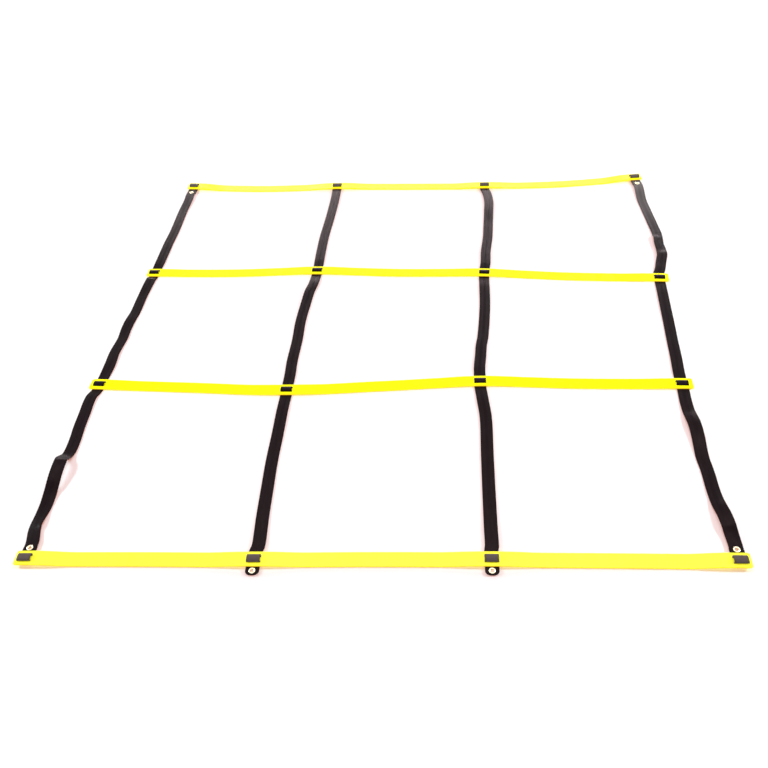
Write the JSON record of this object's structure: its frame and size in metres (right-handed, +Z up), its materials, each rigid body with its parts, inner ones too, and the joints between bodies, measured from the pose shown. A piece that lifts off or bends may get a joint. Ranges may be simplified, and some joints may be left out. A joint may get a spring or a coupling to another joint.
{
  "type": "coordination square",
  "caption": "Flat square floor grid of slotted plastic rungs laced onto webbing with eyelets at its ends; it marks foot spaces for footwork drills and folds into a stack.",
  "frame": {"origin": "on the floor under the middle of the laid-out square", "axes": "+X along the rungs to the right, +Y along the webbing from the front rung to the rear one, +Z up"},
  "size_m": [1.3352, 1.3327, 0.0134],
  "materials": {
    "rung_plastic": "satin, a little translucent",
    "webbing": "flat woven, dull",
    "eyelet": "pale polished",
    "washer": "dull"
  },
  "bodies": {
    "row_second": {"rung_second": "rung_plastic", "strap_left_outer_second": "webbing", "strap_left_inner_second": "webbing", "strap_right_inner_second": "webbing", "strap_right_outer_second": "webbing"},
    "row_front": {"rung_front": "rung_plastic", "strap_left_outer_front": "webbing", "strap_left_inner_front": "webbing", "strap_right_inner_front": "webbing", "strap_right_outer_front": "webbing", "eyelet_front_left": "eyelet", "washer_front_left": "washer", "eyelet_front_right": "eyelet", "washer_front_right": "washer"},
    "left_tail": {"tail_left": "webbing", "eyelet_tail_left": "eyelet", "washer_tail_left": "washer"},
    "right_tail": {"tail_right": "webbing", "eyelet_tail_right": "eyelet", "washer_tail_right": "washer"},
    "row_third": {"rung_third": "rung_plastic", "strap_left_outer_third": "webbing", "strap_left_inner_third": "webbing", "strap_right_inner_third": "webbing", "strap_right_outer_third": "webbing"},
    "row_rear": {"rung_rear": "rung_plastic", "strap_left_outer_rear": "webbing", "strap_left_inner_rear": "webbing", "strap_right_inner_rear": "webbing", "strap_right_outer_rear": "webbing", "eyelet_rear_left": "eyelet", "washer_rear_left": "washer", "eyelet_rear_right": "eyelet", "washer_rear_right": "washer"}
  },
  "joints": [
    {"name": "fold_front", "type": "hinge", "parent": "row_second", "child": "row_front", "pos_m": [0, -0.41219, 0.012], "axis": [-1, 0, 0], "range_deg": [0, 180]},
    {"name": "fold_middle", "type": "hinge", "parent": "row_second", "child": "row_third", "pos_m": [0, 0.00891, 0.025], "axis": [1, 0, 0], "range_deg": [0, 180]},
    {"name": "fold_rear", "type": "hinge", "parent": "row_third", "child": "row_rear", "pos_m": [0, 0.42059, 0.012], "axis": [1, 0, 0], "range_deg": [0, 180]},
    {"name": "flap_left_tail", "type": "hinge", "parent": "row_front", "child": "left_tail", "pos_m": [-0.22587, -0.65074, 0.00285], "axis": [-1, -0.0084, 0], "range_deg": [0, 80]},
    {"name": "flap_right_tail", "type": "hinge", "parent": "row_front", "child": "right_tail", "pos_m": [0.19404, -0.64675, 0.00285], "axis": [-1, -0.0023, 0], "range_deg": [0, 80]}
  ]
}
